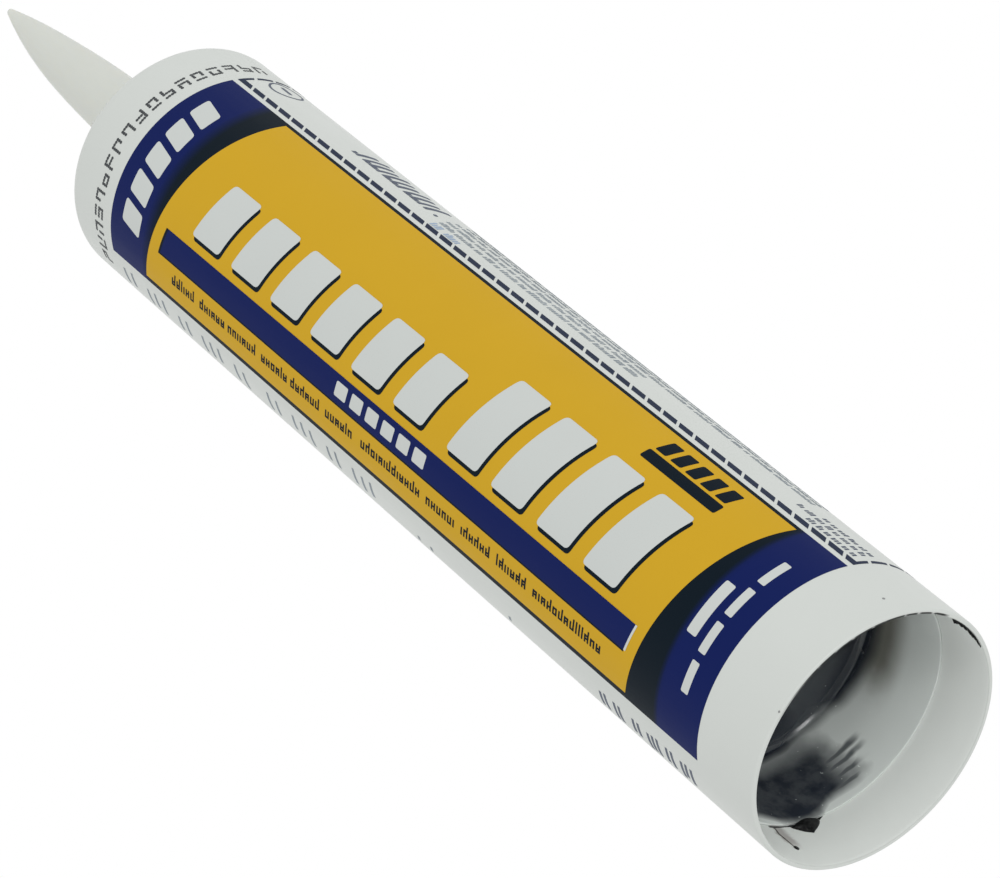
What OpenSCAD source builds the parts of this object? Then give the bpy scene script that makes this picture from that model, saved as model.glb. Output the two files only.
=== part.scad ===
// Sealant cartridge for a caulking gun: a white plastic barrel with a welded nozzle, standing on its
// open rear rim, full of black sealant behind a foil seal and closed at the rear by a cup-shaped plunger.
// Millimetres. Z runs along the barrel from the rear rim, at Z = 0, to the tip of the nozzle.
// The middle of the printed panel faces -Y, and a width on the print is measured round the barrel.

/* [Barrel] */
// Outside diameter of the barrel
barrel_d = 49; // [44:0.1:56]
// Length of the barrel from its rear rim to its front face
barrel_len = 219.5; // [190:0.5:260]
// Wall of the barrel
barrel_wall = 1.3; // [1:0.05:2.2]
// Wall of the closed front end
front_wall = 1.6; // [1:0.1:3]
// Radius of the rounded front shoulder
shoulder_r = 3.5; // [2:0.25:7]
// How much wider in radius the rear mouth is, where a gun's push disc goes in
mouth_relief = 0.25; // [0.1:0.05:0.4]
// Length of full bore left behind the plunger, in front of the widened mouth
mouth_gap = 0.9; // [0.5:0.1:3]
// Radius of the rim's outer edge
lip_r = 0.4; // [0.2:0.05:0.5]
// Chamfer of the rim's inner edge
lip_chamfer = 0.25; // [0.1:0.05:0.3]

/* [Nozzle] */
// Length of the nozzle from the barrel's front face to its closed tip
nozzle_len = 69.1; // [50:0.1:110]
// Outside diameter where the nozzle leaves its foot
nozzle_d = 14.7; // [13:0.1:18]
// Diameter of the closed round tip
tip_d = 1.6; // [1:0.1:6]
// Straight taper of the nozzle, in millimetres of radius for each millimetre of length
nozzle_taper = 0.032; // [0.01:0.001:0.04]
// How sharply the taper quickens towards the tip
taper_power = 3.45; // [2:0.05:4]
// Wall of the nozzle
nozzle_wall = 1.1; // [0.8:0.05:1.4]
// Solid plastic behind the closed tip
tip_solid = 6; // [3:0.5:10]
// Diameter of the foot welded to the front face
foot_d = 21; // [19:0.5:26]
// Thickness of the foot
foot_t = 1.5; // [1:0.1:3]
// Depth of the recess that the foot sits in
foot_recess = 0.8; // [0.4:0.1:0.9]
// Wall of the spigot that stands in the neck hole
spigot_wall = 1; // [0.8:0.1:1.2]
// Diameter of the neck hole in the front wall
neck_d = 13.6; // [13:0.1:14.5]
// Radial clearance of the spigot in the neck hole
spigot_gap = 0.05; // [0.02:0.01:0.1]

/* [Foil seal] */
// Diameter of the foil glued over the neck hole
foil_d = 18; // [16:0.5:30]
// Thickness of the foil
foil_t = 0.2; // [0.1:0.05:0.3]

/* [Plunger] */
// Depth of the plunger's rear edge below the rear rim
plunger_depth = 11.5; // [11:0.1:30]
// Length of the plunger's skirt, from its rear edge to the floor of the cup
skirt_len = 17.9; // [14:0.1:30]
// Wall of the skirt
skirt_wall = 0.5; // [0.4:0.05:1]
// Draft of the skirt's inner face
skirt_draft = 0.3; // [0.1:0.05:0.6]
// Thickness of the cup's floor
floor_t = 1; // [0.8:0.1:2]
// Rise of the domed floor towards the nozzle
floor_rise = 2.5; // [1:0.1:4]
// Length of each sealing lip
lip_len = 1.6; // [1:0.1:3]
// Radial clearance of the sealing lips in the barrel
lip_gap = 0.06; // [0.02:0.01:0.1]
// How far the skirt is relieved between its lips
skirt_relief = 0.2; // [0.1:0.05:0.3]

/* [Sealant] */
// Clearance drawn round the sealant
fill_gap = 0.05; // [0.02:0.01:0.1]

/* [Print] */
// Thickness drawn for each layer of ink
ink_t = 0.08; // [0.06:0.01:0.1]
// Clearance drawn under the first layer of ink
ink_gap = 0.02; // [0.01:0.01:0.03]
// Width of the coloured panel round the barrel
panel_w = 45.7; // [30:0.1:46]
// How far the middle of the panel lies to the left of the front
panel_shift = 2.05; // [0:0.05:4]
// Height of the panel's rear edge above the rear rim
panel_low = 14.8; // [12:0.1:30]
// Length of bare barrel between the panel and the front face
panel_front = 16.6; // [12:0.1:30]
// Length of the blue band at the front end
front_band = 11.8; // [8:0.1:12]
// Length of the blue band at the rear end
rear_band = 11.3; // [8:0.1:12]
// Length from the front edge of the panel to the middle of the yellow field's slanted end
yellow_front = 16.7; // [16:0.1:24]
// Length from the rear edge of the panel to the middle of the yellow field's slanted end
yellow_rear = 16.1; // [16:0.1:24]
// How far the slanted ends climb across the panel
slant = 7.8; // [2:0.1:8]
// Width of the black line beside the yellow field
edge_line = 0.85; // [0.3:0.05:1]
// Width of the blue stripe on the yellow field
stripe_w = 5.2; // [3:0.1:6]
// Distance from the panel's left edge to the stripe
stripe_in = 8.5; // [7:0.1:9.5]
// Length of yellow left between the field's front end and the stripe
stripe_front = 3.9; // [2:0.1:8]
// Length of yellow left between the field's rear end and the stripe
stripe_rear = 2.9; // [2:0.1:8]
// Width of the white marks on the stripe
stripe_mark_w = 2.8; // [1:0.1:3]
// Length of one white mark on the stripe
stripe_mark_len = 3.6; // [1:0.1:4]
// Pitch of the white marks on the stripe
stripe_mark_pitch = 5; // [4:0.1:8]
// How far the white marks lie in front of the yellow field's middle
stripe_mark_rise = 1.9; // [0:0.1:6]
// Yellow left between the stripe and the white blocks
block_gap = 2.3; // [1.2:0.1:4]
// Distance from the panel's right edge to the low white blocks
low_in = 17.3; // [12:0.1:20]
// Distance from the panel's right edge to the tall white blocks
tall_in = 12; // [10:0.1:16]
// Distance from the yellow field's front end to the first white block
blocks_in = 10.4; // [2:0.1:16]
// Length of one white block along the barrel
block_len = 9.2; // [5:0.1:10]
// Pitch of the white blocks
block_pitch = 13.5; // [12:0.1:14]
// Length of yellow added between the low and the tall blocks
block_break = 3.3; // [0:0.1:5]
// How far the ends of a block fall back for each millimetre across the panel
block_slope = 0.2; // [0:0.01:0.22]
// Number of low white blocks
low_blocks = 6; // [2:1:7]
// Number of tall white blocks
tall_blocks = 4; // [1:1:4]
// Offset of the black shadow behind the white blocks
shadow = 0.7; // [0.4:0.1:1.1]
// Distance from the panel's right edge to the upright mark's left edge
mark_in = 9.2; // [7:0.1:9.5]
// Distance from the yellow field's rear end to the upright mark
mark_rear = 9.9; // [2:0.1:20]
// Length of the upright mark
mark_len = 20.5; // [8:0.5:30]
// Width of the upright mark
mark_w = 6.5; // [4:0.1:6.8]
// Width of the upright mark's thin bar
mark_bar = 2.3; // [0.6:0.1:2.5]
// Gap between the two bars of the upright mark
mark_gap = 0.6; // [0.4:0.1:1]
// Width of the short dark marks left of the stripe
word_w = 1.2; // [0.6:0.1:2]
// Distance from the panel's left edge to the middle of the short dark marks
word_in = 5.1; // [3:0.1:6]
// Pitch of the short dark marks
word_pitch = 10.7; // [8:0.1:14]
// Distance from the yellow field's rear end to the first short dark mark
word_rear = 11; // [6:0.1:30]
// Distance from the yellow field's front end to the last short dark mark
word_front = 4.9; // [2:0.1:30]
// Width of one slanted bar on the front band
bar_w = 4.6; // [3:0.1:5]
// Length of one slanted bar on the front band
bar_len = 6.3; // [3:0.1:7]
// Pitch of the slanted bars
bar_pitch = 6.2; // [5.5:0.1:7]
// Number of slanted bars
bars = 5; // [2:1:5]
// How far a bar leans to the right over its length
bar_lean = 1.3; // [0:0.1:2]
// Distance from the panel's front edge to the slanted bars
bar_in = 4; // [1:0.1:5]
// Width of the heading on the rear band
head_w = 10.5; // [6:0.1:20]
// Length of the heading along the barrel
head_len = 2.4; // [1:0.1:2.5]
// Distance from the heading to the row of small bars behind it
head_gap = 1.8; // [1:0.1:3]
// Width of one small bar on the rear band
small_w = 5.8; // [3:0.1:6]
// Length of one small bar along the barrel
small_len = 1.8; // [0.8:0.1:2]
// Pitch of the small bars
small_pitch = 7.4; // [6.5:0.1:8]
// How far the marks on the rear band lie to the right of the panel's middle
rear_shift = 1; // [0:0.1:4]
// Number of small bars
smalls = 4; // [2:1:4]
// Distance from the panel's rear edge to the small bars
small_in = 4.4; // [1:0.1:5]
// Distance from the panel to the dashed border
dash_gap = 1; // [0.5:0.1:2]
// Distance from the panel's rear edge to the first whole dash
dash_start = 3.5; // [2:0.1:6]
// Pitch of the dashed border beside the panel
dash_pitch = 4.515; // [4:0.005:6]
// Length of one dash of the border
dash_len = 3.75; // [1:0.05:4]
// Width of the border's dashes
dash_w = 1.4; // [0.5:0.1:1.6]
// Width of the dashes along the ends of the fine print
line_w = 0.8; // [0.3:0.1:1]
// Distance from the dashed border to the fine print
text_gap = 2.8; // [1:0.1:3]
// Number of lines of fine print
fine_lines = 5; // [2:1:6]
// Pitch of the lines of fine print
fine_pitch = 2.15; // [2:0.05:2.2]
// Width of one line of fine print
fine_w = 1; // [0.3:0.1:1.2]
// Distance from the panel's rear edge to the long lines of fine print
long_rear = 20.7; // [16:0.1:30]
// Distance from the panel's rear edge to the short lines of fine print
short_rear = 65.2; // [40:0.1:80]
// Number of short lines, which lie next to the dashed border
short_lines = 2; // [0:1:2]
// Distance from the square mark to the fine print
text_front = 4; // [2:0.1:10]
// How unevenly the lines of fine print end
ragged = 1.5; // [0:0.1:1.8]
// Distance from the dashed border to the small label behind the fine print
label_gap = 0.8; // [0.4:0.1:1]
// Number of lines of the small label
label_lines = 3; // [1:1:4]
// Pitch of the small label's lines
label_pitch = 1.95; // [1.8:0.05:2.2]
// Distance from the panel's rear edge to the small label
label_rear = 2.5; // [1.5:0.1:6]
// Length of the small label
label_len = 13.5; // [4:0.1:16]
// Width of the square mark beside the panel
square_w = 6; // [3:0.1:8]
// Length of the square mark
square_len = 25; // [10:0.5:25]
// Distance from the panel's front edge to the square mark
square_in = 33; // [20:0.5:34]
// Distance from the panel's left edge to the front row of strokes on the left side
left_gap = 2.7; // [1:0.1:4]
// Length of one stroke round the barrel
stroke_len = 5.6; // [2:0.1:6]
// Width of one stroke
stroke_w = 1.1; // [0.5:0.1:1.4]
// Pitch of the front row of strokes
front_pitch = 2.9; // [2:0.1:4]
// Distance from the panel's front edge to the front row of strokes
front_in = 1.5; // [1:0.1:6]
// Length of the front row of strokes along the barrel
front_len = 88; // [40:0.5:90]
// Pitch of the rear row of strokes
rear_pitch = 1.8; // [1.7:0.1:3]
// How much further to the left the rear row of strokes lies
rear_left = 1.5; // [0:0.1:3]
// Distance from the panel's rear edge to the rear row of strokes
rear_in = 3.5; // [1:0.1:10]
// Length of the rear row of strokes along the barrel
rear_len = 26; // [10:0.5:40]
// Height of the batch marks above the panel
batch_gap = 3.1; // [1:0.1:4]
// Height of the batch marks
batch_w = 2.6; // [1:0.1:2.8]
// Pitch of the batch marks
batch_pitch = 3.5; // [2.6:0.1:4]
// Number of batch marks
batch_count = 18; // [4:1:21]
// How far the middle of the batch marks lies to the right of the front
batch_shift = 1.2; // [0:0.1:4]

/* [Hidden] */
$fn = 128;

barrel_r = barrel_d / 2;
bore_r = barrel_r - barrel_wall;
mouth_r = bore_r + mouth_relief;
inner_front = barrel_len - front_wall;
inner_round = max(0.5, shoulder_r - barrel_wall);
// The mouth narrows to the bore over this length
mouth_step = 1;
mouth_depth = plunger_depth - mouth_gap - mouth_step;
foot_seat = barrel_len - foot_recess;
// Solids that cut run this far past what they cut
past = 1;

nozzle_r = nozzle_d / 2;
tip_r = tip_d / 2;
neck_r = neck_d / 2;
spigot_r = neck_r - spigot_gap;
nozzle_bore_r = spigot_r - spigot_wall;
taper_len = nozzle_len - tip_r;
taper_steps = 14;
tip_steps = 5;
bore_end = nozzle_len - tip_solid;

lip_outer = bore_r - lip_gap;
skirt_outer = lip_outer - skirt_relief;
edge_inner = skirt_outer - skirt_wall + skirt_draft;
root_inner = skirt_outer - skirt_wall - skirt_draft;
plunger_floor = plunger_depth + skirt_len;
dome_steps = 6;

panel_left = -panel_shift - panel_w / 2;
panel_right = panel_left + panel_w;
panel_high = barrel_len - panel_front;
panel_len = panel_high - panel_low;
yellow_low = panel_low + yellow_rear;
yellow_high = panel_high - yellow_front;
stripe_left = panel_left + stripe_in;
stripe_right = stripe_left + stripe_w;
blocks_left = stripe_right + block_gap;
blocks_high = slanted(yellow_high, blocks_left) - blocks_in;

// Radius of the nozzle's outside at a length from the barrel's front face
function nozzle_out(s) =
    nozzle_r - nozzle_taper * s
    - (nozzle_r - nozzle_taper * taper_len - tip_r) * pow(s / taper_len, taper_power);
// Radius of the nozzle's bore there
function nozzle_in(s) = min(nozzle_bore_r, nozzle_out(s) - nozzle_wall);
// Height of the domed floor above its own edge, at a share of its radius
function dome(share) = floor_rise * (1 - share * share);
// Angle round the barrel of a width on the print, with 0 facing -Y
function around(u) = u / barrel_r * 180 / PI;
// Sideways place of a width on the print
function across(u) = barrel_r * sin(around(u));
// Inside radius of a layer of ink
function ink_r(layer) = barrel_r + ink_gap + (layer - 1) * ink_t;
// Height of a slanted line across the panel, from its height in the middle of the panel
function slanted(z, u) = z - slant * (u + panel_shift) / panel_w;

// Half section of a turned blank from z0 to z1, with its outer edges rounded
module blank(r, z0, z1, low_r, high_r) {
    translate([0, z0 + low_r]) square([r, z1 - z0 - low_r - high_r]);
    translate([0, z0]) square([r - low_r, z1 - z0]);
    if (low_r > 0) translate([r - low_r, z0 + low_r]) circle(low_r);
    if (high_r > 0) translate([r - high_r, z1 - high_r]) circle(high_r);
}

module barrel() {
    color([0.85, 0.87, 0.85]) rotate_extrude() difference() {
        blank(barrel_r, 0, barrel_len, lip_r, shoulder_r);
        translate([0, -past]) square([bore_r, past + mouth_depth + mouth_step * 2]);
        blank(bore_r, mouth_depth, inner_front, 0, inner_round);
        polygon([[0, -past], [mouth_r + lip_chamfer * 2, -past], [mouth_r + lip_chamfer, 0],
                 [mouth_r, lip_chamfer * 2], [mouth_r, mouth_depth],
                 [bore_r, mouth_depth + mouth_step], [0, mouth_depth + mouth_step]]);
        square([neck_r, barrel_len + past]);
        translate([0, foot_seat]) square([foot_d / 2 + spigot_gap, foot_recess + past]);
    }
}

module nozzle() {
    color([0.84, 0.85, 0.81]) translate([0, 0, barrel_len]) rotate_extrude() difference() {
        union() {
            polygon(concat(
                [[0, -foot_recess]],
                [for (i = [0 : taper_steps]) let (s = taper_len * i / taper_steps) [nozzle_out(s), s]],
                [for (i = [1 : tip_steps]) let (a = 90 * i / tip_steps)
                    [tip_r * cos(a), taper_len + tip_r * sin(a)]]));
            translate([0, -foot_recess]) square([foot_d / 2, foot_t]);
            translate([0, -front_wall]) square([spigot_r, front_wall]);
        }
        polygon(concat(
            [[0, -front_wall - past], [nozzle_bore_r, -front_wall - past]],
            [for (i = [0 : taper_steps]) let (s = bore_end * i / taper_steps) [nozzle_in(s), s]],
            [[0, bore_end]]));
    }
}

module foil_seal() {
    color([0.78, 0.79, 0.8]) translate([0, 0, inner_front - foil_t]) cylinder(d = foil_d, h = foil_t);
}

// Half section of the plunger's floor, from its rear face lifted by z0 to the same face lifted by z1
module floor_section(r, z0, z1) {
    polygon(concat(
        [for (i = [0 : dome_steps]) let (k = i / dome_steps) [r * k, plunger_floor + z0 + dome(k)]],
        [for (i = [dome_steps : -1 : 0]) let (k = i / dome_steps) [r * k, plunger_floor + z1 + dome(k)]]));
}

module plunger() {
    color([0.6, 0.62, 0.62]) rotate_extrude() {
        floor_section(skirt_outer, 0, floor_t);
        polygon([[edge_inner, plunger_depth], [lip_outer, plunger_depth],
                 [lip_outer, plunger_depth + lip_len], [skirt_outer, plunger_depth + lip_len * 1.5],
                 [skirt_outer, plunger_floor - lip_len], [lip_outer, plunger_floor - lip_len / 2],
                 [lip_outer, plunger_floor + floor_t - skirt_relief],
                 [skirt_outer, plunger_floor + floor_t], [root_inner, plunger_floor + floor_t / 2],
                 [root_inner, plunger_floor]]);
    }
}

module sealant() {
    color([0.08, 0.08, 0.09]) rotate_extrude() difference() {
        blank(bore_r - fill_gap, plunger_floor, inner_front - foil_t - fill_gap, 0, inner_round);
        floor_section(bore_r, -floor_rise, floor_t + fill_gap * 2);
    }
}

// Thin skin of ink of one layer, cut to a shape given across the panel and along the barrel
module ink(layer) {
    intersection() {
        difference() {
            cylinder(r = ink_r(layer) + ink_t, h = barrel_len);
            translate([0, 0, -past]) cylinder(r = ink_r(layer), h = barrel_len + past * 2);
        }
        rotate([90, 0, 0]) linear_extrude(barrel_d) children();
    }
}

// Four-cornered field on the print, its ends slanted or square
module field(u0, u1, low0, low1, high0, high1) {
    polygon([[across(u0), low0], [across(u1), low1], [across(u1), high1], [across(u0), high0]]);
}

// Patch of ink bounded by two widths round the barrel and two heights
module patch(u0, u1, z0, z1, layer = 1) {
    rotate([0, 0, around(u0) - 90]) rotate_extrude(angle = around(u1 - u0))
        translate([ink_r(layer), z0]) square([ink_t, z1 - z0]);
}

module yellow_field() {
    l = panel_left + edge_line;
    r = panel_right - edge_line;
    field(l, r, slanted(yellow_low, l), slanted(yellow_low, r),
          slanted(yellow_high, l), slanted(yellow_high, r));
}

// Stripe on the yellow field, its ends slanted like the field's
module stripe() {
    low = yellow_low + stripe_rear;
    high = yellow_high - stripe_front;
    field(stripe_left, stripe_right, slanted(low, stripe_left), slanted(low, stripe_right),
          slanted(high, stripe_left), slanted(high, stripe_right));
}

module yellow_print() {
    color([0.82, 0.64, 0.16]) ink(1) difference() {
        yellow_field();
        stripe();
    }
}

module blue_print() {
    color([0.11, 0.12, 0.39]) {
        patch(panel_left, panel_right, panel_high - front_band, panel_high);
        patch(panel_left, panel_right, panel_low, panel_low + rear_band);
        ink(1) stripe();
    }
}

// Low and tall white blocks, or the shadow that they throw down and to the left
module blocks(shift) {
    for (i = [0 : low_blocks + tall_blocks - 1]) {
        tall = i >= low_blocks;
        high = blocks_high - i * block_pitch - (tall ? block_break : 0) - shift;
        l = blocks_left - shift;
        r = panel_right - (tall ? tall_in : low_in) - shift;
        fall = block_slope * (r - l);
        field(l, r, high - block_len, high - block_len - fall, high, high - fall);
    }
}

module black_print() {
    low = panel_low + rear_band;
    high = panel_high - front_band;
    mark_l = panel_right - mark_in;
    mark_low = slanted(yellow_low, mark_l) + mark_rear;
    words = floor((yellow_high - word_front - yellow_low - word_rear) / word_pitch);
    word_u = panel_left + word_in;
    color([0.13, 0.14, 0.17]) {
        ink(1) difference() {
            field(panel_left, panel_right, low, low, high, high);
            yellow_field();
        }
        ink(2) difference() {
            blocks(shadow);
            blocks(0);
        }
        patch(mark_l, mark_l + mark_bar, mark_low, mark_low + mark_len, 2);
        patch(mark_l + mark_bar + mark_gap, mark_l + mark_w, mark_low, mark_low + mark_len, 2);
        for (i = [0 : words - 1])
            let (z = yellow_low + word_rear + i * word_pitch, long = word_pitch * (0.62 + 0.24 * sin(i * 140)))
                patch(word_u - word_w / 2, word_u + word_w / 2, z, z + long, 2);
    }
}

// Row of bars of the second layer, centred on a width on the print
module bar_row(middle, count, pitch, width, length, low, lean_by) {
    ink(2) for (i = [0 : count - 1])
        let (u = middle + (i - (count - 1) / 2) * pitch - (width + lean_by) / 2)
            polygon([[across(u), low], [across(u + width), low],
                     [across(u + width + lean_by), low + length], [across(u + lean_by), low + length]]);
}

module white_print() {
    stripe_u = (stripe_left + stripe_right) / 2;
    stripe_marks = 6;
    marks_mid = (yellow_low + yellow_high) / 2 + stripe_mark_rise;
    head_low = panel_low + small_in + small_len + head_gap;
    rear_u = rear_shift - panel_shift;
    color([0.86, 0.88, 0.88]) {
        ink(2) blocks(0);
        for (i = [0 : stripe_marks - 1])
            let (z = marks_mid + (i - (stripe_marks - 1) / 2) * stripe_mark_pitch)
                patch(stripe_u - stripe_mark_w / 2, stripe_u + stripe_mark_w / 2,
                      z - stripe_mark_len / 2, z + stripe_mark_len / 2, 2);
        bar_row(-panel_shift, bars, bar_pitch, bar_w, bar_len, panel_high - bar_in - bar_len, bar_lean);
        bar_row(rear_u, smalls, small_pitch, small_w, small_len, panel_low + small_in, 0);
        patch(rear_u - head_w / 2, rear_u + head_w / 2, head_low, head_low + head_len, 2);
    }
}

// Row of strokes round the barrel, some of them left out so that the rest stand in groups
module stroke_row(u, low, length, pitch) {
    for (i = [0 : floor((length - stroke_w) / pitch)]) let (z = low + i * pitch)
        if (sin(i * 100) > -0.6) patch(u - stroke_len, u, z, z + stroke_w);
}

module dashed_border() {
    dash_u = panel_right + dash_gap;
    dashes = floor((panel_len - dash_start) / dash_pitch);
    dash_break = dash_pitch - dash_len;
    end_dashes = floor((fine_lines * fine_pitch + text_gap) / dash_pitch);
    patch(dash_u, dash_u + dash_w, panel_low, panel_low + dash_start - dash_break);
    patch(dash_u, dash_u + dash_w, panel_high - line_w, panel_high);
    for (i = [0 : dashes - 1]) let (z = panel_low + dash_start + i * dash_pitch)
        patch(dash_u, dash_u + dash_w, z, z + dash_len);
    for (i = [0 : end_dashes - 1]) let (u = dash_u + dash_w + dash_break / 2 + i * dash_pitch) {
        patch(u, u + dash_len, panel_low, panel_low + line_w);
        patch(u, u + dash_len, panel_high - line_w, panel_high);
    }
}

module fine_print() {
    border_u = panel_right + dash_gap + dash_w;
    text_u = border_u + text_gap;
    square_low = panel_high - square_in - square_len;
    text_high = square_low - text_front;
    label_low = panel_low + label_rear;
    left_u = panel_left - left_gap;
    color([0.3, 0.33, 0.48]) {
        dashed_border();
        patch(text_u + fine_w, text_u + fine_w + square_w, square_low, square_low + square_len);
        for (i = [0 : fine_lines - 1])
            let (u = text_u + i * fine_pitch, low = panel_low + (i < short_lines ? short_rear : long_rear))
                patch(u, u + fine_w, low, text_high + ragged * sin(i * 110));
        for (i = [0 : label_lines - 1]) let (u = border_u + label_gap + i * label_pitch)
            patch(u, u + fine_w, label_low, label_low + label_len + ragged * sin(i * 75));
        stroke_row(left_u, panel_high - front_in - front_len, front_len, front_pitch);
        stroke_row(left_u - rear_left, panel_low + rear_in, rear_len, rear_pitch);
    }
}

module batch_marks() {
    low = panel_high + batch_gap;
    color([0.25, 0.26, 0.27])
        for (i = [0 : batch_count - 1]) let (u = (i - batch_count / 2) * batch_pitch + batch_shift)
            patch(u, u + batch_pitch * (0.55 + 0.2 * sin(i * 150)),
                  low, low + batch_w * (0.75 + 0.25 * cos(i * 100)));
}

barrel();
nozzle();
foil_seal();
plunger();
sealant();
yellow_print();
blue_print();
black_print();
white_print();
fine_print();
batch_marks();
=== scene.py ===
import math
import random
import bmesh
import bpy
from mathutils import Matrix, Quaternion, Vector


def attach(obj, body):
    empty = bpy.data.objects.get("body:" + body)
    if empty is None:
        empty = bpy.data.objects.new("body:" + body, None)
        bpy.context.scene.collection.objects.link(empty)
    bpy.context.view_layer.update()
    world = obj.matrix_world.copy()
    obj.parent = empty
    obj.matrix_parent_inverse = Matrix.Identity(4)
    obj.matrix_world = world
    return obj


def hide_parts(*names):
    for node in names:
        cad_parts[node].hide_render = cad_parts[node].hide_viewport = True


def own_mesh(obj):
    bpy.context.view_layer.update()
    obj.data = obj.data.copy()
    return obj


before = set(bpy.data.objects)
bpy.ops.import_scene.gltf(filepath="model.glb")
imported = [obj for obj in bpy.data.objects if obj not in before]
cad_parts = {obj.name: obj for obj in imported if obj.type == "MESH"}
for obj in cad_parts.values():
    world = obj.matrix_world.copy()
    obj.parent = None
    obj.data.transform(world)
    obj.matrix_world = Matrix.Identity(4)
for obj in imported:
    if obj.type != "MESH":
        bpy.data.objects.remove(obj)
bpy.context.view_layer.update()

mm = 0.001
scene = bpy.context.scene
scene.view_settings.view_transform = "Standard"

# The photograph looks up into the open rear end, from below the surface that the cartridge stands on
cameraSettings = {
    "place": (0.0, -0.5632, -0.4178),
    "aim": (-0.00153, 0.0, 0.1056),
    "roll": -49.93,  # degrees
    "lens": 156.2,
    "sensor": 36.0,
}


def makeCamera(settings):
    data = bpy.data.cameras.new("photoCamera")
    data.lens = settings["lens"]
    data.sensor_width = settings["sensor"]
    data.sensor_fit = "HORIZONTAL"
    data.clip_start = 0.01
    data.clip_end = 50
    camera = bpy.data.objects.new("photoCamera", data)
    place = Vector(settings["place"])
    look = (Vector(settings["aim"]) - place).to_track_quat("-Z", "Y")
    camera.location = place
    camera.rotation_mode = "QUATERNION"
    camera.rotation_quaternion = look @ Quaternion((0, 0, 1), math.radians(settings["roll"]))
    scene.collection.objects.link(camera)
    scene.camera = camera


makeCamera(cameraSettings)
print("camera set")


# Small helpers for materials

def newMaterial(name):
    mat = bpy.data.materials.new(name)
    mat.use_nodes = True
    return mat, mat.node_tree, mat.node_tree.nodes["Principled BSDF"]


def objectCoords(tree):
    return tree.nodes.new("ShaderNodeTexCoord").outputs["Object"]


def mixColour(tree, factor, first, second):
    mix = tree.nodes.new("ShaderNodeMix")
    mix.data_type = "RGBA"
    tree.links.new(factor, mix.inputs["Factor"])
    for socket, value in ((mix.inputs[6], first), (mix.inputs[7], second)):
        if isinstance(value, tuple):
            socket.default_value = (*value, 1)
        else:
            tree.links.new(value, socket)
    return mix.outputs[2]


def ramp(tree, source, stops):
    node = tree.nodes.new("ShaderNodeValToRGB")
    tree.links.new(source, node.inputs["Fac"])
    band = node.color_ramp
    band.elements[0].position, band.elements[0].color = stops[0][0], (*stops[0][1], 1)
    band.elements[1].position, band.elements[1].color = stops[-1][0], (*stops[-1][1], 1)
    for place, colour in stops[1:-1]:
        band.elements.new(place).color = (*colour, 1)
    return node.outputs["Color"]


def calc(tree, operation, first, second=0.0, third=0.0):
    node = tree.nodes.new("ShaderNodeMath")
    node.operation = operation
    for socket, value in zip(node.inputs, (first, second, third)):
        if isinstance(value, (int, float)):
            socket.default_value = value
        else:
            tree.links.new(value, socket)
    return node.outputs[0]


def mapRange(tree, source, low, high, smooth=True):
    # 0 at low and 1 at high
    node = tree.nodes.new("ShaderNodeMapRange")
    node.interpolation_type = "SMOOTHSTEP" if smooth else "LINEAR"
    tree.links.new(source, node.inputs["Value"])
    node.inputs["From Min"].default_value = low
    node.inputs["From Max"].default_value = high
    return node.outputs["Result"]


def between(tree, source, start, full, last, end):
    # 1 from full to last, and 0 before start and after end
    return both(tree, mapRange(tree, source, start, full), mapRange(tree, source, end, last))


def both(tree, first, second):
    return calc(tree, "MULTIPLY", first, second)


def either(tree, first, second):
    return calc(tree, "MAXIMUM", first, second)


def shifted(tree, value, share, far):
    # The value, moved by far where the share is 1
    return calc(tree, "MULTIPLY_ADD", share, far, value)


def splitVector(tree, vector):
    split = tree.nodes.new("ShaderNodeSeparateXYZ")
    tree.links.new(vector, split.inputs["Vector"])
    return split.outputs


def aroundAxis(tree, coords):
    # The angle round the object's axis in degrees from +X, and the height in millimetres
    x, y, z = splitVector(tree, coords)
    degrees = calc(tree, "MULTIPLY", calc(tree, "ARCTAN2", y, x), math.degrees(1))
    return degrees, calc(tree, "MULTIPLY", z, 1 / mm)


def axisRadius(tree, coords):
    # The distance from the object's axis in millimetres
    x, y = splitVector(tree, coords)[:2]
    square = calc(tree, "ADD", both(tree, x, x), both(tree, y, y))
    return calc(tree, "MULTIPLY", calc(tree, "POWER", square, 0.5), 1 / mm)


def directRay(tree):
    # 1 for what the camera sees, also by reflection or through glass
    path = tree.nodes.new("ShaderNodeLightPath")
    seen = either(tree, path.outputs["Is Camera Ray"], path.outputs["Is Glossy Ray"])
    return either(tree, seen, path.outputs["Is Transmission Ray"])


def mixShaders(tree, factor, first, second, end):
    # The first shader where the factor is 0, and the second where it is 1
    mix = tree.nodes.new("ShaderNodeMixShader")
    tree.links.new(factor, mix.inputs["Fac"])
    tree.links.new(first.outputs[0], mix.inputs[1])
    tree.links.new(second.outputs[0], mix.inputs[2])
    tree.links.new(mix.outputs["Shader"], end.inputs["Surface"])


def noise(tree, vector, scale, detail=3.0, rough=0.5, stretch=None):
    if stretch:
        mapping = tree.nodes.new("ShaderNodeMapping")
        tree.links.new(vector, mapping.inputs["Vector"])
        mapping.inputs["Scale"].default_value = stretch
        vector = mapping.outputs["Vector"]
    node = tree.nodes.new("ShaderNodeTexNoise")
    node.inputs["Scale"].default_value = scale
    node.inputs["Detail"].default_value = detail
    node.inputs["Roughness"].default_value = rough
    tree.links.new(vector, node.inputs["Vector"])
    return node.outputs["Fac"]


texture = {
    # Scale, detail, roughness and stretch of three kinds of unevenness
    "mottling": (55, 4, 0.55), "grain": (1500, 2, 0.5), "handling": (260, 3, 0.6, (1, 1, 0.12)),
    "sheen": 0.22,  # how far handling varies the roughness
    "dent": 0.5,
}


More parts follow.
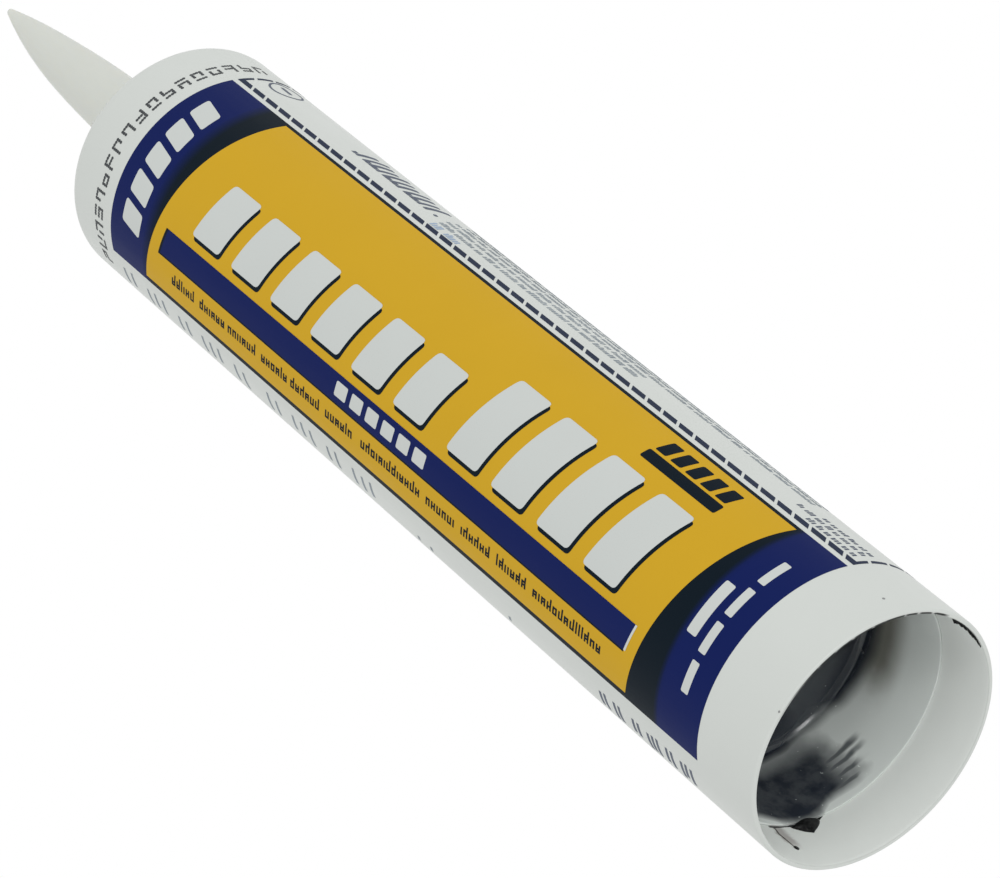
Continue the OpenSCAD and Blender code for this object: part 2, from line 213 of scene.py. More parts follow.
def makeMouldedSurface():
    # Faint mottling, handling marks and a fine moulded texture, shared by every plastic and ink
    tree = bpy.data.node_groups.new("mouldedSurface", "ShaderNodeTree")
    face = tree.interface
    for name, kind, value in (("Vector", "NodeSocketVector", None), ("Mottle", "NodeSocketFloat", 0.03),
                              ("Roughness", "NodeSocketFloat", 0.4), ("Bump", "NodeSocketFloat", 0.1)):
        socket = face.new_socket(name=name, in_out="INPUT", socket_type=kind)
        if value is not None:
            socket.default_value = value
    for name, kind in (("Shade", "NodeSocketFloat"), ("Roughness", "NodeSocketFloat"),
                       ("Height", "NodeSocketFloat")):
        face.new_socket(name=name, in_out="OUTPUT", socket_type=kind)
    start = tree.nodes.new("NodeGroupInput")
    end = tree.nodes.new("NodeGroupOutput")
    vector = start.outputs["Vector"]
    mottling = noise(tree, vector, *texture["mottling"])
    grain = noise(tree, vector, *texture["grain"])
    handling = noise(tree, vector, *texture["handling"])
    swing = calc(tree, "SUBTRACT", mottling, 0.5)
    shade = shifted(tree, 1.0, swing, start.outputs["Mottle"])
    swing = calc(tree, "SUBTRACT", handling, 0.5)
    rough = shifted(tree, start.outputs["Roughness"], swing, texture["sheen"])
    height = both(tree, calc(tree, "ADD", grain, handling), start.outputs["Bump"])
    tree.links.new(shade, end.inputs["Shade"])
    tree.links.new(rough, end.inputs["Roughness"])
    tree.links.new(height, end.inputs["Height"])
    return tree


mouldedSurface = makeMouldedSurface()


def dressSurface(tree, shader, colour, mottle, roughness, bump, depth=0.0001, specular=0.5):
    # Puts the shared surface group between a colour and the shader
    group = tree.nodes.new("ShaderNodeGroup")
    group.node_tree = mouldedSurface
    tree.links.new(objectCoords(tree), group.inputs["Vector"])
    group.inputs["Mottle"].default_value = mottle
    group.inputs["Roughness"].default_value = roughness
    group.inputs["Bump"].default_value = bump
    tint = tree.nodes.new("ShaderNodeMix")
    tint.data_type = "RGBA"
    tint.blend_type = "MULTIPLY"
    tint.inputs["Factor"].default_value = 1
    if isinstance(colour, tuple):
        tint.inputs[6].default_value = (*colour, 1)
    else:
        tree.links.new(colour, tint.inputs[6])
    tree.links.new(group.outputs["Shade"], tint.inputs[7])
    tree.links.new(tint.outputs[2], shader.inputs["Base Color"])
    tree.links.new(group.outputs["Roughness"], shader.inputs["Roughness"])
    dent = tree.nodes.new("ShaderNodeBump")
    dent.inputs["Strength"].default_value = texture["dent"]
    dent.inputs["Distance"].default_value = depth
    tree.links.new(group.outputs["Height"], dent.inputs["Height"])
    tree.links.new(dent.outputs["Normal"], shader.inputs["Normal"])
    shader.inputs["Specular IOR Level"].default_value = specular


# Small helpers for meshes

def finishPiece(bm, name, mat, node, crease=0, body="cartridge", extra=False):
    # Makes the object that replaces a node, or an extra one beside it; edges over crease degrees stay crisp
    mesh = bpy.data.meshes.new(name)
    bm.to_mesh(mesh)
    bm.free()
    piece = bpy.data.objects.new(name, mesh)
    scene.collection.objects.link(piece)
    mesh.materials.append(mat)
    for face in mesh.polygons:
        face.use_smooth = True
    if crease:
        mesh.set_sharp_from_angle(angle=math.radians(crease))
    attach(piece, body)
    if not extra:
        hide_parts(node)
    return piece


def addPart(bm, part):
    # Moves a finished part into the mesh of a piece
    bmesh.ops.recalc_face_normals(part, faces=part.faces)
    mesh = bpy.data.meshes.new("part")
    part.to_mesh(mesh)
    part.free()
    bm.from_mesh(mesh)
    bpy.data.meshes.remove(mesh)


def cutFlat(flat, place, normal):
    bmesh.ops.bisect_plane(flat, geom=flat.verts[:] + flat.edges[:] + flat.faces[:], dist=0.0001,
                           plane_co=place, plane_no=normal)


def raiseFlat(flat):
    # Extrudes a flat shape, and gives the set of vertices of its second face
    outer = bmesh.ops.extrude_face_region(flat, geom=flat.faces[:])
    return {item for item in outer["geom"] if isinstance(item, bmesh.types.BMVert)}


def polar(radius, angle, z):
    # A point in metres, from millimetres and an angle in radians from +X
    return radius * math.cos(angle) * mm, radius * math.sin(angle) * mm, z * mm


def arc(cx, cz, r, start, end, steps):
    # Points of a round stretch of a section, angles in degrees from +X
    return [(cx + r * math.cos(math.radians(start + (end - start) * i / steps)),
             cz + r * math.sin(math.radians(start + (end - start) * i / steps))) for i in range(steps + 1)]


def turn(section, closed, steps=256):
    # Spins a half section, given in millimetres as (radius, height), into a mesh in metres
    bm = bmesh.new()
    verts = [bm.verts.new((x * mm, 0, z * mm)) for x, z in section]
    edges = [bm.edges.new((verts[i], verts[i + 1])) for i in range(len(verts) - 1)]
    if closed:
        edges.append(bm.edges.new((verts[-1], verts[0])))
    bmesh.ops.spin(bm, geom=verts + edges, cent=(0, 0, 0), axis=(0, 0, 1), angle=math.tau,
                   steps=steps, use_merge=True)
    bmesh.ops.remove_doubles(bm, verts=bm.verts, dist=1e-7)
    bmesh.ops.recalc_face_normals(bm, faces=bm.faces)
    return bm


# Barrel: the same section as the moulding, turned smooth

barrel = {
    "radius": 24.5,
    "length": 219.5,
    "wall": 1.3,
    "front wall": 1.6,
    "shoulder": 3.5,
    "lip": 0.4,
    "lip chamfer": 0.25,
    "mouth radius": 23.45,
    "mouth depth": 9.6,
    "neck": 6.8,
    "foot": 10.55,
    "foot recess": 0.8,
    "surface": {"mottle": 0.05, "roughness": 0.42, "bump": 0.25, "specular": 0.35},
    "colour": (0.655, 0.685, 0.655),
    # The inside colour is painted light: lighter than the outside, standing in for light that comes through
    # the thin wall
    "inside": (0.80, 0.83, 0.80),
    "smear": (0.36, 0.335, 0.32),
    "edging": (0.05, 0.052, 0.05),
    # Where each colour starts, is full, is last full and ends: degrees, or millimetres of radius or height
    "painted light radius": (24.3, 24.1), "painted light height": (0.02, 0.3, 212.0, 214.0),
    "smear degrees": (150.5, 155, 157.5, 159.5), "smear height": (4.6, 7.5, 12.0, 13.0),
    "smear radius": (23.8, 23.6), "smear share": 0.75,
    "edging degrees": (-112, -84, -19, -14), "edging height": (0.6, 0.3),
    "edging radius": (23.3, 23.4, 23.94, 24.06), "edging breaks": (0.28, 0.46),
    "drift": 5.0,  # how many degrees their edges wander
    "drift noise": (600, 3, 0.6), "break noise": (420, 2, 0.5),  # scale, detail and roughness
}


def barrelMaterial():
    # White plastic, with a brownish smear inside the mouth and an uneven dark line on the rim's inner edge;
    # its inner surfaces are painted lighter, painted light that stands in for light coming through the thin
    # wall
    b = barrel
    mat, tree, shader = newMaterial("whitePolyethylene")
    coords = objectCoords(tree)
    degrees, height = aroundAxis(tree, coords)
    radius = axisRadius(tree, coords)
    drift = calc(tree, "SUBTRACT", noise(tree, coords, *b["drift noise"]), 0.5)
    degrees = shifted(tree, degrees, drift, b["drift"])
    # Painted light: the inner surfaces are painted lighter
    inside = both(tree, mapRange(tree, radius, *b["painted light radius"]),
                  between(tree, height, *b["painted light height"]))
    smear = both(tree, between(tree, degrees, *b["smear degrees"]), between(tree, height, *b["smear height"]))
    smear = both(tree, smear, mapRange(tree, radius, *b["smear radius"]))
    smear = both(tree, smear, b["smear share"])
    # An uneven dark line along the rim's inner edge, broken up by noise
    edging = both(tree, between(tree, degrees, *b["edging degrees"]), between(tree, radius, *b["edging radius"]))
    edging = both(tree, edging, mapRange(tree, height, *b["edging height"]))
    breaks = noise(tree, coords, *b["break noise"])
    edging = both(tree, edging, mapRange(tree, breaks, *b["edging breaks"]))
    colour = mixColour(tree, inside, b["colour"], b["inside"])
    colour = mixColour(tree, smear, colour, b["smear"])
    colour = mixColour(tree, edging, colour, b["edging"])
    dressSurface(tree, shader, colour, **b["surface"])
    return mat


def makeBarrel():
    b = barrel
    bore = b["radius"] - b["wall"]
    inside = b["length"] - b["front wall"]
    inner = b["shoulder"] - b["wall"]
    mouth = b["mouth radius"]
    section = [(mouth + b["lip chamfer"], 0)]
    section += arc(b["radius"] - b["lip"], b["lip"], b["lip"], -90, 0, 6)
    section += arc(b["radius"] - b["shoulder"], b["length"] - b["shoulder"], b["shoulder"], 0, 90, 14)
    section += [(b["foot"], b["length"]), (b["foot"], b["length"] - b["foot recess"]),
                (b["neck"], b["length"] - b["foot recess"]), (b["neck"], inside)]
    section += arc(bore - inner, inside - inner, inner, 90, 0, 10)
    section += [(bore, b["mouth depth"] + 1), (mouth, b["mouth depth"]), (mouth, b["lip chamfer"] * 2)]
    bm = turn(section, True)
    finishPiece(bm, "barrelShell", barrelMaterial(), "barrel", crease=30)


makeBarrel()
print("barrel made")


# Nozzle: a tapered tube with a closed round tip that leans a little to the right

nozzle = {
    "length": 69.1,
    "radius": 7.35,
    "tip": 0.8,
    "taper": 0.032,
    "power": 3.45,
    "foot radius": 10.5,
    "foot": 1.5,
    "foot chamfer": 0.3,
    "weld": 0.5,
    "spigot": 6.75,
    "bore": 5.75,
    "wall": 1.1,
    "bore end": 63.1,
    "bend start": 42.0,
    "bend": 0.9,  # millimetres at the tip
    "bend power": 1.7,
    "colour": (0.672, 0.692, 0.637),
    "surface": {"mottle": 0.05, "roughness": 0.45, "bump": 0.3, "specular": 0.35},
    "glow": 0.3, "glow reach": (1.0, 0.9, 0.7), "glow scale": 0.003,  # light that passes under its skin
}


def nozzleMaterial():
    mat, tree, shader = newMaterial("naturalPolyethylene")
    dressSurface(tree, shader, nozzle["colour"], **nozzle["surface"])
    shader.inputs["Subsurface Weight"].default_value = nozzle["glow"]
    shader.inputs["Subsurface Radius"].default_value = nozzle["glow reach"]
    shader.inputs["Subsurface Scale"].default_value = nozzle["glow scale"]
    return mat


def makeNozzle():
    n = nozzle
    base = barrel["length"]
    seat = base - barrel["foot recess"]
    straight = n["length"] - n["tip"]
    swell = n["radius"] - n["taper"] * straight - n["tip"]

    def radius(s):
        return n["radius"] - n["taper"] * s - swell * (s / straight) ** n["power"]

    steps = 40
    back, front = base - barrel["front wall"], seat + n["foot"]
    section = [(n["spigot"], back), (n["spigot"], seat), (n["foot radius"], seat),
               (n["foot radius"], front - n["foot chamfer"]), (n["foot radius"] - n["foot chamfer"], front),
               (n["radius"] + n["weld"], front), (n["radius"] + 0.05, front + n["weld"] - 0.05)]
    section += [(radius(straight * i / steps), base + straight * i / steps) for i in range(1, steps + 1)]
    section += arc(0, base + straight, n["tip"], 12, 90, 8)
    places = [n["bore end"] * i / 14 for i in range(15)]
    bore = [(min(n["bore"], radius(place) - n["wall"]), base + place) for place in places]
    section += [(0, bore[-1][1])] + bore[::-1] + [(n["bore"], back)]
    bm = turn(section, False, 128)
    start = base + n["bend start"]
    for vert in bm.verts:
        rise = vert.co.z / mm - start
        if rise > 0:
            vert.co.x += n["bend"] * mm * (rise / (n["length"] - n["bend start"])) ** n["bend power"]
    finishPiece(bm, "nozzleTube", nozzleMaterial(), "nozzle", crease=40)


makeNozzle()
print("nozzle made")


# Print: thin skins of ink. Widths on it are in millimetres round the barrel, from -Y towards +X

panel = {
    "left": -24.9, "right": 20.8, "low": 14.8, "high": 202.9,
    "middle": -2.05, "front band": 11.8, "rear band": 11.3,
    "yellow low": 30.9, "yellow high": 186.2, "slant": 7.8, "edge": 0.85, "left more": 0.25,
    "stripe left": -16.4, "stripe right": -11.2, "stripe front": 3.9, "stripe rear": 2.9,
    "gap": 0.015,  # between the barrel and the first skin
    "skin": 0.02,
    "pitch": 0.026,  # from one layer of skin to the next
    "skew": -0.0069,  # how far the print runs to the side for each millimetre of height
    "skew middle": 108.0,
}


def slanted(z, u):
    # A height that follows the slant of the yellow field's ends
    return z - panel["slant"] * (u - panel["middle"]) / (panel["right"] - panel["left"])


def slantedField(left, right, low, high):
    return [(left, slanted(low, left)), (right, slanted(low, right)),
            (right, slanted(high, right)), (left, slanted(high, left))]


def leaning(u, z, width, length, lean):
    # A bar whose far end is shifted sideways
    return [(u, z), (u + width, z), (u + width + lean, z + length), (u + lean, z + length)]


def rounded(corners, radius, steps=4):
    # Rounds the corners of a flat shape
    outline = []
    for i, corner in enumerate(corners):
        here = Vector(corner)
        start = here + (Vector(corners[i - 1]) - here).normalized() * radius
        end = here + (Vector(corners[(i + 1) % len(corners)]) - here).normalized() * radius
        for k in range(steps + 1):
            t = k / steps
            point = start * (1 - t) ** 2 + here * 2 * t * (1 - t) + end * t * t
            outline.append((point.x, point.y))
    return outline


def bendSkin(bm, outline, inner, skin, skew=0.0, middle=0.0):
    # Cuts a flat shape into strips of 1 mm, bends it round the barrel's axis and gives it a thickness
    flat = bmesh.new()
    flat.faces.new([flat.verts.new((u, 0, z)) for u, z in outline])
    left = min(u for u, z in outline)
    right = max(u for u, z in outline)
    at = math.ceil(left)
    while at < right - 0.01:
        if at > left + 0.01:
            cutFlat(flat, (at, 0, 0), (1, 0, 0))
        at += 1
    raised = raiseFlat(flat)
    for vert in flat.verts:
        angle = (vert.co.x + skew * (vert.co.z - middle)) / inner
        radius = inner + skin if vert in raised else inner
        vert.co = (radius * math.sin(angle) * mm, -radius * math.cos(angle) * mm, vert.co.z * mm)
    addPart(bm, flat)


def printShape(bm, outline, layer):
    inner = barrel["radius"] + panel["gap"] + (layer - 1) * panel["pitch"]
    bendSkin(bm, outline, inner, panel["skin"], panel["skew"], panel["skew middle"])


def box(u0, u1, z0, z1):
    return [(u0, z0), (u1, z0), (u1, z1), (u0, z1)]


def disc(u, z, across, up, corners):
    return [(u + across * math.cos(math.tau * k / corners), z + up * math.sin(math.tau * k / corners))
            for k in range(corners)]


def finishPrint(bm, name, mat, node, extra=False):
    finishPiece(bm, name, mat, node, crease=30, extra=extra)


inks = {
    "yellow": (0.645, 0.385, 0.022),
    "blue": (0.005, 0.013, 0.098),
    "black": (0.003, 0.009, 0.016),
    "white": (0.625, 0.655, 0.635),
    "border": (0.018, 0.028, 0.060),
    "fine": (0.25, 0.29, 0.325),
    "mark": (0.105, 0.125, 0.17),
    "pale": (0.34, 0.43, 0.56),
    "batch": (0.075, 0.080, 0.085),
    "surface": {"roughness": 0.45, "bump": 0.2, "specular": 0.05},
}


def inkMaterial(name, colour, mottle=0.05):
    mat, tree, shader = newMaterial(name)
    dressSurface(tree, shader, colour, mottle, **inks["surface"])
    return mat


def bandMaterial(name, stops):
    # Blue and black ink that run into each other along the barrel; stops are (height in millimetres, ink)
    mat, tree, shader = newMaterial(name)
    height = splitVector(tree, objectCoords(tree))["Z"]
    low, high = stops[0][0], stops[-1][0]
    share = mapRange(tree, height, low * mm, high * mm, smooth=False)
    colour = ramp(tree, share, [((z - low) / (high - low), inks[ink]) for z, ink in stops])
    dressSurface(tree, shader, colour, 0.1, **inks["surface"])
    return mat


def makeYellowPrint():
    p = panel
    left, right = p["left"] + p["edge"], p["right"] - p["edge"]
    bm = bmesh.new()
    printShape(bm, slantedField(left, right, p["yellow low"], p["yellow high"]), 2)
    finishPrint(bm, "yellowPrint", inkMaterial("yellowInk", inks["yellow"], 0.06), "yellow_print")


def stripeOutline():
    p = panel
    return slantedField(p["stripe left"], p["stripe right"], p["yellow low"] + p["stripe rear"],
                        p["yellow high"] - p["stripe front"])


def makeBluePrint():
    p = panel
    bm = bmesh.new()
    left = p["left"] - p["left more"]
    printShape(bm, box(left, p["right"], p["high"] - p["front band"], p["high"]), 1)
    printShape(bm, box(left, p["right"], p["low"], p["low"] + p["rear band"]), 1)
    printShape(bm, stripeOutline(), 4)
    stops = [(10, "blue"), (25.5, "blue"), (26.5, "black"), (27.5, "blue"), (210, "blue")]
    finishPrint(bm, "bluePrint", bandMaterial("blueInk", stops), "blue_print")


blocks = {
    "gap": 2.3,  # from the stripe to the blocks
    "low in": 17.3, "tall in": 12.0,  # from the panel's right edge
    "front": 10.4,
    "length": 9.2, "pitch": 13.5, "break": 3.3, "slope": 0.2,
    "low": 6, "tall": 4,  # how many there are
    "corner": 1.0,
    "shadow": 0.7,
}


def blockOutlines(shift):
    # Low and tall blocks that lean like the yellow field's ends
    b = blocks
    outlines = []
    left = panel["stripe right"] + b["gap"]
    front = slanted(panel["yellow high"], left) - b["front"]
    for i in range(b["low"] + b["tall"]):
        tall = i >= b["low"]
        high = front - i * b["pitch"] - (b["break"] if tall else 0) - shift
        l, r = left - shift, panel["right"] - b["tall in" if tall else "low in"] - shift
        fall = b["slope"] * (r - l)
        outlines.append(rounded([(l, high - b["length"]), (r, high - b["length"] - fall), (r, high - fall),
                                 (l, high)], b["corner"]))
    return outlines


words = {
    "left": -20.75,  # width on the print
    "rear": 11.0, "pitch": 10.85, "count": 13,
    "stroke": 0.42, "letter": 1.25, "letter gap": 0.42,
    "short": 1.55, "tall": 2.3,
    "share": 0.86, "sway": 0.08,  # how much of its pitch a word fills, and how far that varies
}

mark = {"in": 9.2, "rear": 9.9, "length": 20.5, "width": 6.5, "bar": 2.3, "gap": 0.6, "blocks": 5,
        "block gap": 1.2, "rise": 0.7}


def markWord(bm, rng, low, high):
    # Strokes and bridges that pass for a word of small print from a distance, and spell nothing
    w = words
    u, stroke, short = w["left"], w["stroke"], w["short"]
    bridges = (0, (short - stroke) / 2, short - stroke)
    z = low
    while z + w["letter"] * 0.6 < high:
        printShape(bm, box(u, u + rng.choice((short, short, w["tall"])), z, z + stroke), 3)
        if rng.random() < 0.75:
            far = z + w["letter"] - stroke
            printShape(bm, box(u, u + short, far, far + stroke), 3)
            for at in rng.sample(bridges, rng.choice((1, 2))):
                printShape(bm, box(u + at, u + at + stroke * 0.9, z + stroke, far), 3)
            z = far
        z += stroke + w["letter gap"]


def makeMark(bm):
    # A small sign at the panel's right: a bar, and slanted blocks beside it
    m = mark
    left = panel["right"] - m["in"]
    low = slanted(panel["yellow low"], left) + m["rear"]
    printShape(bm, rounded(box(left, left + m["bar"], low, low + m["length"]), 0.5), 3)
    step = m["length"] / m["blocks"]
    right, length = left + m["width"], step - m["block gap"]
    left += m["bar"] + m["gap"]
    for k in range(m["blocks"]):
        z = low + k * step
        printShape(bm, rounded([(left, z + m["rise"]), (right, z), (right, z + length),
                                (left, z + m["rise"] + length)], 0.4), 3)


def makeBlackPrint():
    p = panel
    bm = bmesh.new()
    low, high = p["low"] + p["rear band"], p["high"] - p["front band"]
    printShape(bm, box(p["left"] - p["left more"], p["right"], low, high), 1)
    edge, end = 0.35, 0.7  # how far the stripe's shadow stands out
    rearLeft, rearRight, frontRight, frontLeft = stripeOutline()
    printShape(bm, [(rearLeft[0] - edge, rearLeft[1]), rearRight, (frontRight[0], frontRight[1] + end),
                    (frontLeft[0] - edge, frontLeft[1] + end + 0.05)], 3)
    for outline in blockOutlines(blocks["shadow"]):
        printShape(bm, outline, 3)
    rng = random.Random(2)
    for i in range(words["count"]):
        start = p["yellow low"] + words["rear"] + i * words["pitch"]
        filled = words["share"] + words["sway"] * math.cos(math.radians(i * 140))
        markWord(bm, rng, start, start + words["pitch"] * filled)
    makeMark(bm)
    stops = [(25.5, "blue"), (26.5, "black"), (188.3, "black"), (191.3, "blue")]
    finishPrint(bm, "blackPrint", bandMaterial("blackInk", stops), "black_print")


bars = {
    "front": {"count": 5, "pitch": 6.2, "width": 4.6, "length": 6.3, "low": 192.6, "lean": 1.3,
              "middle": -2.05, "corner": 0.7},
    "rear": {"count": 4, "pitch": 7.4, "width": 5.8, "length": 1.8, "low": 19.2, "lean": 0.0,
             "middle": -1.05, "corner": 0.3},
    "head": {"width": 10.5, "low": 22.8, "length": 2.4},
    "stripe": {"count": 6, "pitch": 5.0, "width": 2.8, "length": 3.6, "middle": 110.45},
}


def makeWhitePrint():
    bm = bmesh.new()
    for outline in blockOutlines(0):
        printShape(bm, outline, 4)
    for b in (bars["front"], bars["rear"]):
        for i in range(b["count"]):
            u = b["middle"] + (i - (b["count"] - 1) / 2) * b["pitch"] - (b["width"] + b["lean"]) / 2
            outline = leaning(u, b["low"], b["width"], b["length"], b["lean"])
            printShape(bm, rounded(outline, b["corner"]), 2)
    head = bars["head"]
    u = bars["rear"]["middle"] - head["width"] / 2
    printShape(bm, rounded(box(u, u + head["width"], head["low"], head["low"] + head["length"]), 0.4), 2)
    s = bars["stripe"]
    u = (panel["stripe left"] + panel["stripe right"]) / 2
    for i in range(s["count"]):
        z = s["middle"] + (i - (s["count"] - 1) / 2) * s["pitch"]
        printShape(bm, rounded(box(u - s["width"] / 2, u + s["width"] / 2, z - s["length"] / 2,
                                   z + s["length"] / 2), 0.4), 5)
    # The thin light line that shows at the stripe's rear end
    left, right = stripeOutline()[:2]
    printShape(bm, [(left[0], left[1] - 0.5), (right[0], right[1] - 0.5), right, left], 4)
    finishPrint(bm, "whitePrint", inkMaterial("whiteInk", inks["white"]), "white_print")


side = {
    "dash gap": 1.2, "dash width": 1.3, "dash length": 3.75, "dash pitch": 4.515, "dash start": 3.5,
    "dash rise": 1.2,  # how far a dash's end climbs over its width
    "end width": 0.8,
    "text gap": 2.7, "lines": 5, "pitch": 2.15, "line": 1.3,
    "long rear": 20.7, "short rear": 65.2, "short lines": 2, "text front": 4.0,
    "square width": 6.0, "square length": 25.0, "square in": 33.0, "square blocks": 11,
    "square left": 1.0, "square fall": 0.9,
    "label gap": 0.7, "label lines": 3, "label pitch": 1.95, "label rear": 2.5, "label length": 13.5,
    "ring": (30.3, 198.0, 3.7, 0.5),  # width, height, radius and line
    "left gap": 2.9, "stroke length": 5.4, "stroke width": 0.8,
    "front pitch": 2.9, "front in": 1.5, "front length": 88.0,
    "rear pitch": 1.35, "rear left": 1.5, "rear in": 3.0, "rear length": 27.0,
    "lone strokes": (71.5, 96.0, 100.0), "lone left": 4.6, "lone length": 1.8,
    "pale": ((131.5, 136.3), (137.3, 141.0)),  # heights of two pale blue patches
    "pale gap": 0.35, "pale line": 1.7,
    "corner": 2.0, "end slant": 0.4,  # of the border, where it turns
}
borderEdge = panel["right"] + side["dash gap"] + side["dash width"]
squaresRear = panel["high"] - side["square in"] - side["square length"]


def makeBorder():
    # Dashes with slanted ends beside the panel; at both ends the border turns and runs on round the barrel
    p, s = panel, side
    bm = bmesh.new()
    left, right = p["right"] + s["dash gap"], borderEdge
    rise = s["dash rise"] / 2
    gap = s["dash pitch"] - s["dash length"]
    count = int((p["high"] - p["low"] - s["dash start"]) / s["dash pitch"])
    first = p["low"] + s["dash start"]
    for i in range(count):
        low = first + i * s["dash pitch"]
        high = low + s["dash length"]
        printShape(bm, [(left, low - rise), (right, low + rise), (right, high + rise),
                        (left, high - rise)], 1)
    low = first - gap
    high = first + count * s["dash pitch"]
    corner = right + s["corner"]
    end = corner + s["end slant"]
    printShape(bm, [(left, p["low"]), (corner, p["low"]), (end, p["low"] + s["end width"]),
                    (right, p["low"] + s["end width"]), (right, low + rise), (left, low - rise)], 1)
    printShape(bm, [(left, high - rise), (right, high + rise), (right, p["high"] - s["end width"]),
                    (corner, p["high"] - s["end width"]), (end, p["high"]), (left, p["high"])], 1)
    for i in range(3):
        u = corner + gap + i * s["dash pitch"]
        for z in (p["low"], p["high"] - s["end width"]):
            printShape(bm, leaning(u, z, s["dash length"], s["end width"], s["end slant"]), 1)
    finishPrint(bm, "dashedBorder", inkMaterial("borderInk", inks["border"], 0.2), "fine_print", extra=True)


def textLine(bm, rng, u, width, low, high, longest=6.0):
    # A line of fine print: words of small strokes, each standing for a letter
    letter, space, wordGap = 0.5, 0.22, 0.55
    z = low
    while z < high - 1:
        last = min(z + rng.uniform(1.6, longest), high)
        while z + letter < last:
            wide = width * rng.choice((0.72, 0.72, 1.0))
            printShape(bm, box(u, u + wide, z, z + letter * rng.uniform(0.8, 1.1)), 1)
            z += letter + space
        z += wordGap


def strokeRow(bm, rng, u, low, length, pitch):
    # Strokes round the barrel in groups, which run away round the side
    s = side
    for i in range(int((length - s["stroke width"]) / pitch) + 1):
        if math.sin(math.radians(i * 100)) > -0.6:
            loneStroke(bm, u - rng.uniform(0, 0.7), low + i * pitch, s["stroke length"] - rng.uniform(0, 1.2))


def loneStroke(bm, u, z, length):
    width, rise = side["stroke width"], 0.4
    printShape(bm, [(u - length, z + rise), (u, z - rise), (u, z - rise + width * 0.8),
                    (u - length, z + rise + width)], 1)


def makeFinePrint():
    p, s = panel, side
    rng = random.Random(11)
    bm = bmesh.new()
    for i in range(s["lines"]):
        u = borderEdge + s["text gap"] + i * s["pitch"]
        start = p["low"] + s["short rear" if i < s["short lines"] else "long rear"]
        textLine(bm, rng, u, s["line"], start, squaresRear - s["text front"] + rng.uniform(-1, 1))
    rear = p["high"] - s["front in"] - s["front length"]
    strokeRow(bm, rng, p["left"] - s["left gap"], rear, s["front length"], s["front pitch"])
    for z in s["lone strokes"]:
        loneStroke(bm, p["left"] - s["left gap"] - s["lone left"], z, s["lone length"])
    finishPrint(bm, "finePrint", inkMaterial("fineInk", inks["fine"], 0.4), "fine_print")


def makeSideMarks():
    # The darker marks beside the fine print: a row of slanted blocks, a ring and a small label
    p, s = panel, side
    rng = random.Random(4)
    bm = bmesh.new()
    left = borderEdge + s["text gap"] + s["square left"]
    step = s["square length"] / s["square blocks"]
    fall, corner = s["square fall"], 0.25
    for i in range(s["square blocks"]):
        z = squaresRear + i * step
        right = left + s["square width"] * (1, 0.8, 0.9)[i % 3]
        high = step * (0.5, 0.42)[i % 2]
        printShape(bm, rounded([(left, z + fall), (right, z), (right, z + high),
                                (left, z + fall + high)], corner), 1)
        if i % 3:
            printShape(bm, box(left, left + 1.1, z + 1.0 + high, z + 0.8 + step), 1)
    printShape(bm, rounded(box(left + 0.1, left + 0.9, squaresRear - 2.1, squaresRear - 1.2), corner), 1)
    u, z, radius, line = s["ring"]
    parts = 24
    for k in range(parts):
        a, b = math.tau * k / parts, math.tau * (k + 0.97) / parts
        printShape(bm, [(u + r * math.cos(t), z + r * math.sin(t))
                        for r, t in ((radius, a), (radius, b), (radius - line, b), (radius - line, a))], 1)
    printShape(bm, rounded(box(u - 0.4, u + 0.5, z - 1.6, z + 1.8), 0.4), 1)
    for i, more in zip(range(s["label lines"]), (0.7, 4.2, -0.8)):
        u = borderEdge + s["label gap"] + i * s["label pitch"]
        start = p["low"] + s["label rear"]
        textLine(bm, rng, u, s["line"], start, start + s["label length"] + more, 2.6)
    left = p["left"] - s["left gap"] - s["rear left"]
    strokeRow(bm, rng, left, p["low"] + s["rear in"], s["rear length"], s["rear pitch"])
    finishPrint(bm, "sideMarks", inkMaterial("markInk", inks["mark"], 0.4), "fine_print", extra=True)


def makePalePatches():
    rng = random.Random(6)
    bm = bmesh.new()
    for low, high in side["pale"]:
        textLine(bm, rng, borderEdge + side["pale gap"], side["pale line"], low, high, high - low)
    finishPrint(bm, "paleMarks", inkMaterial("paleInk", inks["pale"], 0.3), "fine_print", extra=True)


batch = {"low": 206.25, "pitch": 3.5, "count": 18, "dot": 0.68, "spacing": 0.6, "middle": 1.2, "drift": 0.03}


def makeBatchMarks():
    # Groups of sprayed dots above the panel, each on some of the sides of a small frame
    b = batch
    sides = [[(column, row) for column in range(4)] for row in (0, 2, 4)]
    sides += [[(column, row) for row in rows] for column in (0, 3) for rows in ((0, 1, 2), (2, 3, 4))]
    rng = random.Random(8)
    bm = bmesh.new()
    for i in range(b["count"]):
        left = (i - b["count"] / 2) * b["pitch"] + b["middle"]
        dots = {dot for chosen in rng.sample(sides, 4) for dot in chosen}
        for column, row in sorted(dots):
            u = left + column * b["spacing"] + rng.uniform(-b["drift"], b["drift"])
            z = b["low"] + row * b["spacing"] + rng.uniform(-b["drift"], b["drift"])
            printShape(bm, disc(u, z, b["dot"] / 2, b["dot"] / 2, 8), 1)
    finishPrint(bm, "batchDots", inkMaterial("sprayedInk", inks["batch"], 0.5), "batch_marks")


makeYellowPrint()
makeBluePrint()
makeBlackPrint()
makeWhitePrint()
makeBorder()
makeFinePrint()
makeSideMarks()
makePalePatches()
makeBatchMarks()
print("print made")


# Plunger: a cup of thin glossy plastic, through which the sealant behind it shows as dark patches

